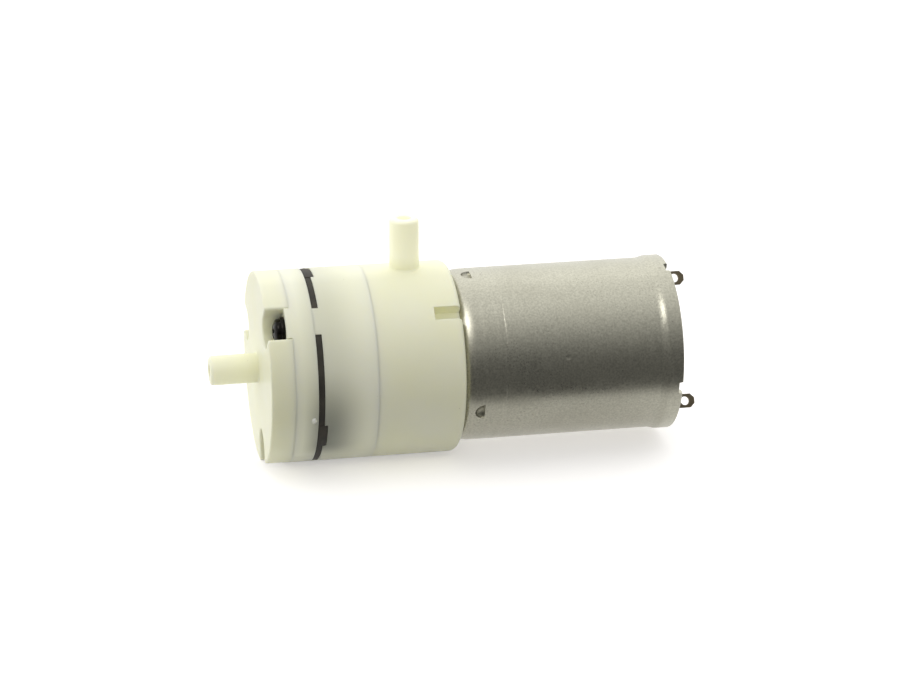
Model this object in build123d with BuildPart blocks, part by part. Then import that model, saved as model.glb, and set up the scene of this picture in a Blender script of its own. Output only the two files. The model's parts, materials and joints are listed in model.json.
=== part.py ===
from build123d import *
import os
from math import cos, hypot, radians, sin, sqrt

# Three-chamber diaphragm air pump driven by a small round direct-current motor.
# X is the shaft axis, +X towards the motor's terminals, +Z along the inlet nozzle.
# The origin is on the shaft axis, midway along the motor can. Millimetres.
# Polar angles in the YZ plane run from +Y towards +Z.

# ---------------------------------------------------------- driving sizes
# pump head, front to back
head_radius = 13.6
cover_thickness = 3.4
valve_plate_thickness = 3.15
flange_thickness = 0.9
cylinder_length = 7.6
case_length = 12.35

# motor can
can_radius = 12.2
can_length = 31.3
can_wall = 0.9
can_flare = 0.25
can_flare_length = 2.9
can_shoulder = 1.0
motor_boss_radius = 3.0
motor_boss_height = 1.5

# air nozzles
nozzle_radius = 2.1
nozzle_bore_radius = 1.0
nozzle_tip_round = 0.5
outlet_nozzle_length = 6.8
inlet_nozzle_tip_z = 20.7
inlet_nozzle_setback = 6.35
outlet_root_round = 0.25
inlet_root_slope = 45
inlet_root_height = 0.05

# layout angles and circles of the three-fold head
screw_angle = 15
cup_angle = 75
tab_angle = 89
air_passage_angle = 105
screw_circle = 11.0
cup_circle = 6.6
air_passage_circle = 11.3
air_passage_radius = 0.6
chambers = 3

# fits and clearances
running_clearance = 0.05
bushing_clearance = 0.03
loose_clearance = 0.15
seat_gap = 0.03
cut_margin = 1.0
fit_tolerance = 0.01

# head screws, self-tapping, pan head with a moulded washer
screw_radius = 1.0
screw_thread_bite = 0.12
screw_length = 16.0
screw_head_radius = 1.75
screw_head_height = 1.45
screw_washer_radius = 2.05
screw_washer_thickness = 0.55
screw_recess_width = 0.42
screw_recess_span = 1.9
screw_recess_depth = 0.8
screw_notch_clearance = 0.25
screw_pad_height = 0.7
screw_head_round = 0.5
screw_hole_run_out = 1.0
screw_boss_wall = 1.3
spacer_wall = 1.0

# cover and valve plate
cover_edge_round = 0.25
notch_edge_round = 0.3
plenum_depth = 1.9
plenum_radius = 12.2
plenum_wall = 0.9
seal_ring_inner = 4.7
seal_ring_outer = 5.5
chamber_recess_radius = 4.3
chamber_recess_depth = 1.2
inlet_valve_circle = 7.6
inlet_valve_radius = 2.0
inlet_valve_thickness = 0.45
inlet_port_circle = 1.25
inlet_port_radius = 0.35
inlet_ports = 4
inlet_port_turn = 45
valve_stem_radius = 0.55
valve_bulb_radius = 0.85
valve_bulb_length = 0.9
valve_edge_share = 0.6
bulb_taper = 15
exhaust_valve_radius = 4.2
exhaust_valve_thickness = 0.6
exhaust_port_circle = 3.5
exhaust_port_radius = 0.45
exhaust_stem_radius = 0.8
exhaust_bulb_radius = 1.2
exhaust_bulb_length = 1.1
bulb_pocket_radius = 1.6
bulb_pocket_depth = 1.4

# diaphragm
flange_setback = 0.1
tab_span = 17.5
tab_play = 0.6
tab_depth = 0.45
tab_root_radius = 12.6
cup_top_radius = 4.4
cup_floor_radius = 3.2
cup_wall = 0.5
cup_floor_thickness = 0.9
stem_radius = 0.9
stem_bulb_radius = 1.4
stem_bulb_length = 0.9
stem_bulb_taper = 20

# cylinder body
bore_plate_thickness = 2.75
cup_bore_clearance = 0.3
skirt_wall = 1.3

# wobbling yoke and its drive
wobble_tilt = 6.0
drive_pin_angle = 75
wobble_centre_setback = 5.15
yoke_thickness = 1.6
yoke_hub_radius = 2.3
yoke_hub_length = 4.6
yoke_arm_width = 3.6
yoke_pad_radius = 2.2
drive_pin_radius = 0.75
drive_pin_start = 0.6
drive_pin_length = 8.0
eccentric_radius = 4.2
eccentric_length = 6.6
eccentric_setback = 2.8
eccentric_edge = 0.3
shaft_grip = 2.85

# crank case
case_wall = 2.0
case_rear_wall = 2.5
case_rear_round = 1.0
lip_length = 1.0
case_slot_width = 2.0
case_slot_length = 3.9
case_slot_depth = 2.2

# motor fixing screws
motor_screw_angle = 105
motor_screw_circle = 8.5
motor_screw_radius = 1.25
motor_screw_head_radius = 2.2
motor_screw_head_height = 1.6
motor_screw_head_round = 0.5
motor_screw_thread_depth = 1.6

# motor magnets and spring clip
magnet_angle = 149.3
magnet_span = 120
magnet_inner_radius = 8.3
magnet_setback = 3.0
magnet_rear_setback = 6.3
magnet_gap = 0.05
clip_thickness = 0.6
clip_play_angle = 6
lance_setback = 1.6
lance_length = 1.2
lance_width = 2.1
lance_depth = 0.5
lance_spread = 54.3
rim_notch_angle = 104
rim_notch_width = 1.9
rim_notch_depth = 0.55
rim_notches = 4

# rotor
shaft_radius = 1.0
shaft_tail = 0.8
shaft_end_chamfer = 0.2
core_radius = 7.8
core_hub_radius = 2.8
core_setback = 6.8
core_rear_setback = 8.5
poles = 5
tooth_width = 2.2
pole_shoe_depth = 0.9
pole_shoe_span = 62
coil_thickness = 0.9
coil_end = 1.4
coil_corner = 0.72
commutator_radius = 2.8
commutator_hub_radius = 2.2
commutator_length = 3.4
commutator_setback = 1.7
commutator_slit = 10
riser_radius = 3.6
riser_length = 0.4
washer_outer_radius = 1.9
washer_thickness = 0.35

# bearings and rear closure
bushing_radius = 2.4
bushing_length = 3.0
boss_lip = 0.4
boss_opening_radius = 1.4
end_plate_thickness = 1.0
end_plate_setback = 0.4
end_boss_height = 1.7
holder_thickness = 1.7
holder_hole_radius = 3.6
window_length = 3.4
window_width = 2.6
window_collar_height = 0.3

# brushes and terminals
terminal_angle = 66
terminal_circle = 8.9
terminal_width = 2.0
terminal_thickness = 0.4
terminal_reach = 4.05
terminal_tail = 2.4
terminal_chamfer = 0.6
terminal_hole_radius = 0.63
terminal_hole_setback = 1.4
brush_arm_thickness = 0.2
brush_arm_width = 1.8
brush_width = 1.4
brush_height = 1.1

# ---------------------------------------------------------- derived stations along X
x_motor_face = -can_length / 2
x_motor_rear = can_length / 2
x_case_front = x_motor_face - case_length
x_cylinder_front = x_case_front - cylinder_length
x_plate_rear = x_cylinder_front - flange_thickness
x_cover_rear = x_plate_rear - valve_plate_thickness
x_face = x_cover_rear - cover_thickness
x_screw_seat = x_cover_rear - screw_pad_height
x_inlet_nozzle = x_motor_face - inlet_nozzle_setback
x_case_wall = x_motor_face - case_rear_wall
x_wobble = x_cylinder_front + wobble_centre_setback
x_eccentric_rear = x_motor_face - eccentric_setback
x_eccentric_front = x_eccentric_rear - eccentric_length
x_shaft_front = x_eccentric_rear - shaft_grip
x_core_front = x_motor_face + core_setback
x_core_rear = x_motor_rear - core_rear_setback
x_commutator = x_core_rear + commutator_setback
x_end_plate_rear = x_motor_rear - end_plate_setback
x_end_plate_front = x_end_plate_rear - end_plate_thickness
x_holder_front = x_end_plate_front - holder_thickness
x_end_boss_rear = x_end_plate_rear + end_boss_height
x_shaft_rear = x_end_boss_rear + shaft_tail
x_front_bushing = x_motor_face - motor_boss_height + boss_lip
x_rear_bushing = x_end_boss_rear - boss_lip - bushing_length

# ---------------------------------------------------------- derived radii, lengths and angles
screw_notch_radius = screw_washer_radius + screw_notch_clearance
screw_boss_radius = screw_radius + screw_boss_wall
screw_pilot_radius = screw_radius - screw_thread_bite
screw_hole_radius = screw_radius + loose_clearance
spacer_radius = screw_radius + spacer_wall
case_inner_radius = head_radius - case_wall
skirt_inner_radius = head_radius - skirt_wall
cup_bore_radius = cup_top_radius + cup_bore_clearance
passage_hole_radius = air_passage_radius + loose_clearance
can_inner_radius = can_radius - can_wall
magnet_outer_radius = can_inner_radius - magnet_gap
magnet_length = can_length - magnet_setback - magnet_rear_setback
core_length = x_core_rear - x_core_front
end_plate_radius = can_inner_radius + can_flare - seat_gap
bushing_bore_radius = shaft_radius + bushing_clearance
outward = (Align.MIN, Align.CENTER)

# The drive pin leans from the wobble centre towards drive_pin_angle, and the yoke is square to it.
tilt_sin = sin(radians(wobble_tilt))
tilt_cos = cos(radians(wobble_tilt))
pin_y = cos(radians(drive_pin_angle))
pin_z = sin(radians(drive_pin_angle))
pin_direction = (tilt_cos, tilt_sin * pin_y, tilt_sin * pin_z)
yoke_radial = (-tilt_sin, tilt_cos * pin_y, tilt_cos * pin_z)
yoke_plane = Plane(origin=(x_wobble, 0, 0), x_dir=yoke_radial, z_dir=pin_direction)


def section(x):
    """A sketch plane square to the shaft at station x, with its normal along +X."""
    return Plane.YZ.offset(x)


def polar(radius, angle):
    """A point of a sketch plane in polar form."""
    return (radius * cos(radians(angle)), radius * sin(radians(angle)))


def wedge(angle, span):
    """Corners of a triangle that covers a sector of the section plane, from the shaft out."""
    reach = 3 * head_radius
    return [(0, 0), polar(reach, angle - span / 2), polar(reach, angle + span / 2)]


def around(count, start):
    """The angles of an evenly spaced pattern."""
    return [start + 360 / count * step for step in range(count)]


os.makedirs("parts", exist_ok=True)

# ---------------------------------------------------------- front cover with the outlet nozzle
with BuildPart() as front_cover:
    with BuildSketch(section(x_face)):
        Circle(head_radius)
        with PolarLocations(screw_circle, chambers, start_angle=screw_angle):
            Circle(screw_notch_radius, mode=Mode.SUBTRACT)
            Rectangle(head_radius, 2 * screw_notch_radius, align=outward, mode=Mode.SUBTRACT)
    extrude(amount=cover_thickness)
    notch_corners = front_cover.edges().filter_by(Axis.X).filter_by(
        lambda edge: hypot(edge.center().Y, edge.center().Z) > head_radius - fit_tolerance
    )
    fillet(notch_corners, radius=notch_edge_round)
    fillet(front_cover.edges().group_by(Axis.X)[0], radius=cover_edge_round)
    with BuildSketch(section(x_face)):
        Circle(nozzle_radius)
    extrude(amount=-outlet_nozzle_length)
    fillet(front_cover.edges().group_by(Axis.X)[0], radius=nozzle_tip_round)
    nozzle_root = front_cover.edges().filter_by(GeomType.CIRCLE).filter_by(
        lambda edge: abs(edge.radius - nozzle_radius) < fit_tolerance
    )
    fillet(nozzle_root.sort_by(Axis.X)[-1], radius=outlet_root_round)
    with BuildSketch(section(x_cover_rear)):
        Circle(plenum_radius)
        Circle(seal_ring_outer, mode=Mode.SUBTRACT)
        with PolarLocations(screw_circle, chambers, start_angle=screw_angle):
            Circle(screw_notch_radius + plenum_wall, mode=Mode.SUBTRACT)
            Rectangle(
                head_radius, 2 * (screw_notch_radius + plenum_wall), align=outward, mode=Mode.SUBTRACT
            )
        Circle(seal_ring_inner)
    extrude(amount=-plenum_depth, mode=Mode.SUBTRACT)
    with BuildSketch(section(x_face - outlet_nozzle_length)):
        Circle(nozzle_bore_radius)
    extrude(amount=outlet_nozzle_length + cover_thickness, mode=Mode.SUBTRACT)
front_cover.part.label = "front_cover"
export_step(front_cover.part, "parts/front_cover.step")

# ---------------------------------------------------------- valve plate
with BuildPart() as valve_plate:
    with BuildSketch(section(x_cover_rear)):
        Circle(head_radius)
    extrude(amount=valve_plate_thickness)
    with BuildSketch(section(x_cover_rear)):
        with PolarLocations(screw_circle, chambers, start_angle=screw_angle):
            Circle(screw_notch_radius - seat_gap)
            Rectangle(head_radius, 2 * (screw_notch_radius - seat_gap), align=outward)
        Circle(head_radius, mode=Mode.INTERSECT)
    extrude(amount=-screw_pad_height)
    with BuildSketch(section(x_plate_rear)):
        with PolarLocations(cup_circle, chambers, start_angle=cup_angle):
            Circle(chamber_recess_radius)
    extrude(amount=-chamber_recess_depth, mode=Mode.SUBTRACT)
    with BuildSketch(section(x_plate_rear)):
        Circle(bulb_pocket_radius)
    extrude(amount=-bulb_pocket_depth, mode=Mode.SUBTRACT)
    with BuildSketch(section(x_screw_seat)):
        with PolarLocations(screw_circle, chambers, start_angle=screw_angle):
            Circle(screw_hole_radius)
        with PolarLocations(air_passage_circle, chambers, start_angle=air_passage_angle):
            Circle(air_passage_radius)
        with PolarLocations(exhaust_port_circle, chambers, start_angle=cup_angle):
            Circle(exhaust_port_radius)
        Circle(exhaust_stem_radius + running_clearance)
        for angle in around(chambers, cup_angle):
            with Locations(polar(inlet_valve_circle, angle)):
                Circle(valve_stem_radius + running_clearance)
                with PolarLocations(inlet_port_circle, inlet_ports, start_angle=angle + inlet_port_turn):
                    Circle(inlet_port_radius)
    extrude(amount=screw_pad_height + valve_plate_thickness, mode=Mode.SUBTRACT)
valve_plate.part.label = "valve_plate"
export_step(valve_plate.part, "parts/valve_plate.step")

# ---------------------------------------------------------- inlet umbrella valves
x_chamber_floor = x_plate_rear - chamber_recess_depth
inlet_stem_length = valve_plate_thickness - chamber_recess_depth
for number, angle in enumerate(around(chambers, cup_angle), start=1):
    valve_centre = polar(inlet_valve_circle, angle)
    with BuildPart() as inlet_valve:
        with BuildSketch(section(x_chamber_floor)):
            with Locations(valve_centre):
                Circle(inlet_valve_radius)
        extrude(amount=inlet_valve_thickness)
        fillet(inlet_valve.edges().group_by(Axis.X)[-1], radius=inlet_valve_thickness * valve_edge_share)
        with BuildSketch(section(x_chamber_floor)):
            with Locations(valve_centre):
                Circle(valve_stem_radius)
        extrude(amount=-inlet_stem_length)
        with BuildSketch(section(x_cover_rear)):
            with Locations(valve_centre):
                Circle(valve_bulb_radius)
        extrude(amount=-valve_bulb_length, taper=bulb_taper)
    inlet_valve.part.label = f"inlet_valve_{number}"
    export_step(inlet_valve.part, f"parts/inlet_valve_{number}.step")

# ---------------------------------------------------------- exhaust umbrella valve
exhaust_stem_length = valve_plate_thickness - bulb_pocket_depth
with BuildPart() as exhaust_valve:
    with BuildSketch(section(x_cover_rear)):
        Circle(exhaust_valve_radius)
    extrude(amount=-exhaust_valve_thickness)
    fillet(exhaust_valve.edges().group_by(Axis.X)[0], radius=exhaust_valve_thickness * valve_edge_share)
    with BuildSketch(section(x_cover_rear)):
        Circle(exhaust_stem_radius)
    extrude(amount=exhaust_stem_length)
    with BuildSketch(section(x_cover_rear + exhaust_stem_length)):
        Circle(exhaust_bulb_radius)
    extrude(amount=exhaust_bulb_length, taper=bulb_taper)
exhaust_valve.part.label = "exhaust_valve"
export_step(exhaust_valve.part, "parts/exhaust_valve.step")

# ---------------------------------------------------------- diaphragm: flange, three cups, three stems
flange_radius = head_radius - flange_setback
piston_plane = yoke_plane.offset(-yoke_thickness / 2 - seat_gap)
cup_floor_plane = piston_plane.offset(-cup_floor_thickness)
yoke_rear_plane = yoke_plane.offset(yoke_thickness / 2 + seat_gap)
stem_length = yoke_thickness + 2 * seat_gap
with BuildPart() as diaphragm:
    with BuildSketch(section(x_plate_rear)):
        Circle(flange_radius)
    extrude(amount=flange_thickness)
    for angle in around(chambers, tab_angle):
        with BuildSketch(section(x_plate_rear)):
            Circle(head_radius)
            Circle(tab_root_radius, mode=Mode.SUBTRACT)
            Polygon(*wedge(angle, tab_span), mode=Mode.INTERSECT)
        extrude(amount=flange_thickness + tab_depth)
    for angle in around(chambers, cup_angle):
        with BuildSketch(section(x_cylinder_front)):
            with Locations(polar(cup_circle, angle)):
                Circle(cup_top_radius)
        with BuildSketch(piston_plane):
            with Locations(polar(cup_circle, angle - drive_pin_angle)):
                Circle(cup_floor_radius)
        loft()
    for angle in around(chambers, cup_angle):
        with BuildSketch(section(x_plate_rear)):
            with Locations(polar(cup_circle, angle)):
                Circle(cup_top_radius - cup_wall)
        with BuildSketch(cup_floor_plane):
            with Locations(polar(cup_circle, angle - drive_pin_angle)):
                Circle(cup_floor_radius - cup_wall)
        loft(mode=Mode.SUBTRACT)
    with BuildSketch(piston_plane):
        with PolarLocations(cup_circle, chambers, start_angle=cup_angle - drive_pin_angle):
            Circle(stem_radius)
    extrude(amount=stem_length)
    with BuildSketch(yoke_rear_plane):
        with PolarLocations(cup_circle, chambers, start_angle=cup_angle - drive_pin_angle):
            Circle(stem_bulb_radius)
    extrude(amount=stem_bulb_length, taper=stem_bulb_taper)
    with BuildSketch(section(x_plate_rear)):
        with PolarLocations(screw_circle, chambers, start_angle=screw_angle):
            Circle(spacer_radius + seat_gap)
            Rectangle(head_radius, 2 * (spacer_radius + seat_gap), align=outward)
        with PolarLocations(air_passage_circle, chambers, start_angle=air_passage_angle):
            Circle(passage_hole_radius)
    extrude(amount=flange_thickness, mode=Mode.SUBTRACT)
diaphragm.part.label = "diaphragm"
export_step(diaphragm.part, "parts/diaphragm.step")

# ---------------------------------------------------------- cylinder body that holds the cups
with BuildPart() as cylinder_body:
    with BuildSketch(section(x_cylinder_front)):
        Circle(head_radius)
    extrude(amount=cylinder_length)
    with BuildSketch(section(x_case_front)):
        Circle(skirt_inner_radius)
        with PolarLocations(screw_circle, chambers, start_angle=screw_angle):
            Circle(screw_boss_radius, mode=Mode.SUBTRACT)
            Rectangle(head_radius, 2 * screw_boss_radius, align=outward, mode=Mode.SUBTRACT)
    extrude(amount=-(cylinder_length - bore_plate_thickness), mode=Mode.SUBTRACT)
    with BuildSketch(section(x_cylinder_front)):
        with PolarLocations(screw_circle, chambers, start_angle=screw_angle):
            Circle(spacer_radius)
            Rectangle(head_radius, 2 * spacer_radius, align=outward)
        Circle(head_radius, mode=Mode.INTERSECT)
    extrude(amount=-flange_thickness)
    for angle in around(chambers, tab_angle):
        with BuildSketch(section(x_cylinder_front)):
            Circle(head_radius + cut_margin)
            Circle(tab_root_radius - seat_gap, mode=Mode.SUBTRACT)
            Polygon(*wedge(angle, tab_span + tab_play), mode=Mode.INTERSECT)
        extrude(amount=tab_depth + seat_gap, mode=Mode.SUBTRACT)
    with BuildSketch(section(x_plate_rear)):
        with PolarLocations(cup_circle, chambers, start_angle=cup_angle):
            Circle(cup_bore_radius)
        with PolarLocations(air_passage_circle, chambers, start_angle=air_passage_angle):
            Circle(passage_hole_radius)
        with PolarLocations(screw_circle, chambers, start_angle=screw_angle):
            Circle(screw_hole_radius)
    extrude(amount=flange_thickness + cylinder_length, mode=Mode.SUBTRACT)
cylinder_body.part.label = "cylinder_body"
export_step(cylinder_body.part, "parts/cylinder_body.step")

# ---------------------------------------------------------- crank case with the inlet nozzle
pilot_depth = screw_length - (x_case_front - x_screw_seat) + screw_hole_run_out
with BuildPart() as crank_case:
    with BuildSketch(section(x_case_front)):
        Circle(head_radius)
    extrude(amount=case_length)
    fillet(crank_case.edges().group_by(Axis.X)[-1], radius=case_rear_round)
    with BuildSketch(section(x_case_front)):
        Circle(case_inner_radius)
        with PolarLocations(screw_circle, chambers, start_angle=screw_angle):
            Circle(screw_boss_radius, mode=Mode.SUBTRACT)
            Rectangle(head_radius, 2 * screw_boss_radius, align=outward, mode=Mode.SUBTRACT)
    extrude(amount=case_length - case_rear_wall, mode=Mode.SUBTRACT)
    with BuildSketch(section(x_case_front)):
        Circle(skirt_inner_radius - loose_clearance)
        Circle(case_inner_radius, mode=Mode.SUBTRACT)
        with PolarLocations(screw_circle, chambers, start_angle=screw_angle):
            Circle(screw_boss_radius + loose_clearance, mode=Mode.SUBTRACT)
            Rectangle(
                head_radius, 2 * (screw_boss_radius + loose_clearance), align=outward, mode=Mode.SUBTRACT
            )
    extrude(amount=-lip_length)
    with BuildSketch(Plane.XY.offset(inlet_nozzle_tip_z)):
        with Locations((x_inlet_nozzle, 0)):
            Circle(nozzle_radius)
    extrude(amount=-(inlet_nozzle_tip_z - head_radius + case_wall / 2))
    fillet(crank_case.edges().group_by(Axis.Z)[-1], radius=nozzle_tip_round)
    with BuildSketch(Plane.XY.offset(head_radius + inlet_root_height)):
        with Locations((x_inlet_nozzle, 0)):
            Circle(nozzle_radius)
    extrude(amount=-case_wall / 2, taper=-inlet_root_slope)
    with BuildSketch(Plane.XY.offset(inlet_nozzle_tip_z)):
        with Locations((x_inlet_nozzle, 0)):
            Circle(nozzle_bore_radius)
    extrude(amount=-(inlet_nozzle_tip_z - case_inner_radius + case_wall / 2), mode=Mode.SUBTRACT)
    with BuildSketch(section(x_case_front)):
        with PolarLocations(screw_circle, chambers, start_angle=screw_angle):
            Circle(screw_pilot_radius)
    extrude(amount=pilot_depth, mode=Mode.SUBTRACT)
    with BuildSketch(section(x_motor_face)):
        Circle(motor_boss_radius + loose_clearance)
        with PolarLocations(motor_screw_circle, 2, start_angle=motor_screw_angle):
            Circle(motor_screw_radius + loose_clearance)
    extrude(amount=-case_rear_wall, mode=Mode.SUBTRACT)
    with BuildSketch(section(x_motor_face)):
        with PolarLocations(head_radius - case_slot_depth, chambers, start_angle=screw_angle):
            Rectangle(head_radius, case_slot_width, align=outward)
    extrude(amount=-case_slot_length, mode=Mode.SUBTRACT)
crank_case.part.label = "crank_case"
export_step(crank_case.part, "parts/crank_case.step")

# ---------------------------------------------------------- three self-tapping head screws
x_screw_top = x_screw_seat - screw_head_height
with BuildPart() as head_screws:
    with BuildSketch(section(x_screw_seat)):
        with PolarLocations(screw_circle, chambers, start_angle=screw_angle):
            Circle(screw_washer_radius)
    extrude(amount=-screw_washer_thickness)
    with BuildSketch(section(x_screw_seat)):
        with PolarLocations(screw_circle, chambers, start_angle=screw_angle):
            Circle(screw_head_radius)
    extrude(amount=-screw_head_height)
    fillet(head_screws.edges().group_by(Axis.X)[0], radius=screw_head_round)
    with BuildSketch(section(x_screw_top)):
        with PolarLocations(screw_circle, chambers, start_angle=screw_angle):
            Rectangle(screw_recess_span, screw_recess_width)
            Rectangle(screw_recess_width, screw_recess_span)
    extrude(amount=screw_recess_depth, mode=Mode.SUBTRACT)
    with BuildSketch(section(x_screw_seat)):
        with PolarLocations(screw_circle, chambers, start_angle=screw_angle):
            Circle(screw_radius)
    extrude(amount=screw_length)
    chamfer(head_screws.edges().group_by(Axis.X)[-1], length=screw_radius / 2)
head_screws.part.label = "head_screws"
export_step(head_screws.part, "parts/head_screws.step")

# ---------------------------------------------------------- two motor fixing screws
with BuildPart() as motor_screws:
    with BuildSketch(section(x_case_wall)):
        with PolarLocations(motor_screw_circle, 2, start_angle=motor_screw_angle):
            Circle(motor_screw_head_radius)
    extrude(amount=-motor_screw_head_height)
    fillet(motor_screws.edges().group_by(Axis.X)[0], radius=motor_screw_head_round)
    with BuildSketch(section(x_case_wall)):
        with PolarLocations(motor_screw_circle, 2, start_angle=motor_screw_angle):
            Circle(motor_screw_radius)
    extrude(amount=case_rear_wall + motor_screw_thread_depth)
motor_screws.part.label = "motor_screws"
export_step(motor_screws.part, "parts/motor_screws.step")

# ---------------------------------------------------------- drawn steel motor can
x_flare = x_motor_rear - can_flare_length
x_flare_full = x_flare + can_flare
with BuildPart() as motor_can:
    with BuildSketch(Plane.XZ):
        with BuildLine():
            Polyline(
                (x_motor_face - motor_boss_height, boss_opening_radius),
                (x_motor_face - motor_boss_height, motor_boss_radius),
                (x_motor_face, motor_boss_radius),
                (x_motor_face, can_radius),
                (x_flare, can_radius),
                (x_flare_full, can_radius + can_flare),
                (x_motor_rear, can_radius + can_flare),
                (x_motor_rear, can_inner_radius + can_flare),
                (x_end_plate_front, can_inner_radius + can_flare),
                (x_end_plate_front, can_inner_radius),
                (x_motor_face + can_wall, can_inner_radius),
                (x_motor_face + can_wall, bushing_radius),
                (x_front_bushing, bushing_radius),
                (x_front_bushing, boss_opening_radius),
                close=True,
            )
        make_face()
    revolve(axis=Axis.X)
    shoulder = motor_can.edges().filter_by(GeomType.CIRCLE).filter_by(
        lambda edge: abs(edge.radius - can_radius) < fit_tolerance
    )
    fillet(shoulder.sort_by(Axis.X)[0], radius=can_shoulder)
    for start in (magnet_angle, magnet_angle + 180):
        for side in (-1, 1):
            lance_angle = start + side * lance_spread
            lance_plane = section(x_motor_face + lance_setback)
            with BuildSketch(lance_plane):
                with PolarLocations(can_inner_radius - lance_depth, 1, start_angle=lance_angle):
                    Rectangle(can_wall, lance_width, align=outward)
            extrude(amount=lance_length)
            with BuildSketch(lance_plane):
                with PolarLocations(can_radius - lance_depth, 1, start_angle=lance_angle):
                    Rectangle(can_wall, lance_width, align=outward)
            extrude(amount=lance_length, mode=Mode.SUBTRACT)
    with BuildSketch(section(x_motor_face - motor_boss_height)):
        with PolarLocations(motor_screw_circle, 2, start_angle=motor_screw_angle):
            Circle(motor_screw_radius)
    extrude(amount=motor_boss_height + can_wall, mode=Mode.SUBTRACT)
    with BuildSketch(section(x_motor_rear)):
        with PolarLocations(can_inner_radius, rim_notches, start_angle=rim_notch_angle):
            Rectangle(head_radius, rim_notch_width, align=outward)
    extrude(amount=-rim_notch_depth, mode=Mode.SUBTRACT)
motor_can.part.label = "motor_can"
export_step(motor_can.part, "parts/motor_can.step")

# ---------------------------------------------------------- arc magnets and the clip that spreads them
x_magnet = x_motor_face + magnet_setback
for number, angle in enumerate(around(2, magnet_angle), start=1):
    with BuildPart() as magnet:
        with BuildSketch(section(x_magnet)):
            Circle(magnet_outer_radius)
            Circle(magnet_inner_radius, mode=Mode.SUBTRACT)
            Polygon(*wedge(angle, magnet_span), mode=Mode.INTERSECT)
        extrude(amount=magnet_length)
    magnet.part.label = f"magnet_{number}"
    export_step(magnet.part, f"parts/magnet_{number}.step")

clip_angle = magnet_angle + 90
clip_span = 180 - magnet_span - clip_play_angle
clip_leg = magnet_outer_radius - magnet_inner_radius - clip_thickness / 2
with BuildPart() as magnet_clip:
    with BuildSketch(section(x_magnet)):
        Circle(magnet_outer_radius)
        Circle(magnet_outer_radius - clip_thickness, mode=Mode.SUBTRACT)
        Polygon(*wedge(clip_angle, clip_span), mode=Mode.INTERSECT)
        for side in (-1, 1):
            clip_end_angle = clip_angle + side * clip_span / 2
            with PolarLocations(magnet_inner_radius, 1, start_angle=clip_end_angle):
                Rectangle(clip_leg, clip_thickness, align=outward)
    extrude(amount=magnet_length)
magnet_clip.part.label = "magnet_clip"
export_step(magnet_clip.part, "parts/magnet_clip.step")

# ---------------------------------------------------------- sintered bushings
for name, x_bushing in (("front_bushing", x_front_bushing), ("rear_bushing", x_rear_bushing)):
    with BuildPart() as bushing:
        with BuildSketch(section(x_bushing)):
            Circle(bushing_radius)
            Circle(bushing_bore_radius, mode=Mode.SUBTRACT)
        extrude(amount=bushing_length)
    bushing.part.label = name
    export_step(bushing.part, f"parts/{name}.step")

# ---------------------------------------------------------- end plate with the rear bearing boss
with BuildPart() as end_plate:
    with BuildSketch(Plane.XZ):
        with BuildLine():
            Polyline(
                (x_end_plate_front, bushing_radius),
                (x_end_plate_front, end_plate_radius),
                (x_end_plate_rear, end_plate_radius),
                (x_end_plate_rear, motor_boss_radius),
                (x_end_boss_rear, motor_boss_radius),
                (x_end_boss_rear, boss_opening_radius),
                (x_end_boss_rear - boss_lip, boss_opening_radius),
                (x_end_boss_rear - boss_lip, bushing_radius),
                close=True,
            )
        make_face()
    revolve(axis=Axis.X)
    with BuildSketch(section(x_end_plate_front)):
        with PolarLocations(terminal_circle, 2, start_angle=terminal_angle):
            Rectangle(window_length, window_width)
    extrude(amount=end_plate_thickness, mode=Mode.SUBTRACT)
end_plate.part.label = "end_plate"
export_step(end_plate.part, "parts/end_plate.step")

# ---------------------------------------------------------- moulded brush holder
with BuildPart() as brush_holder:
    with BuildSketch(section(x_holder_front)):
        Circle(can_inner_radius - loose_clearance)
        Circle(holder_hole_radius, mode=Mode.SUBTRACT)
    extrude(amount=holder_thickness)
    with BuildSketch(section(x_end_plate_front)):
        with PolarLocations(terminal_circle, 2, start_angle=terminal_angle):
            Rectangle(window_length - loose_clearance, window_width - loose_clearance)
    extrude(amount=end_plate_thickness + window_collar_height)
    with BuildSketch(section(x_holder_front)):
        with PolarLocations(terminal_circle, 2, start_angle=terminal_angle):
            Rectangle(terminal_width, terminal_thickness)
    extrude(
        amount=holder_thickness + end_plate_thickness + window_collar_height, mode=Mode.SUBTRACT
    )
brush_holder.part.label = "brush_holder"
export_step(brush_holder.part, "parts/brush_holder.step")

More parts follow.
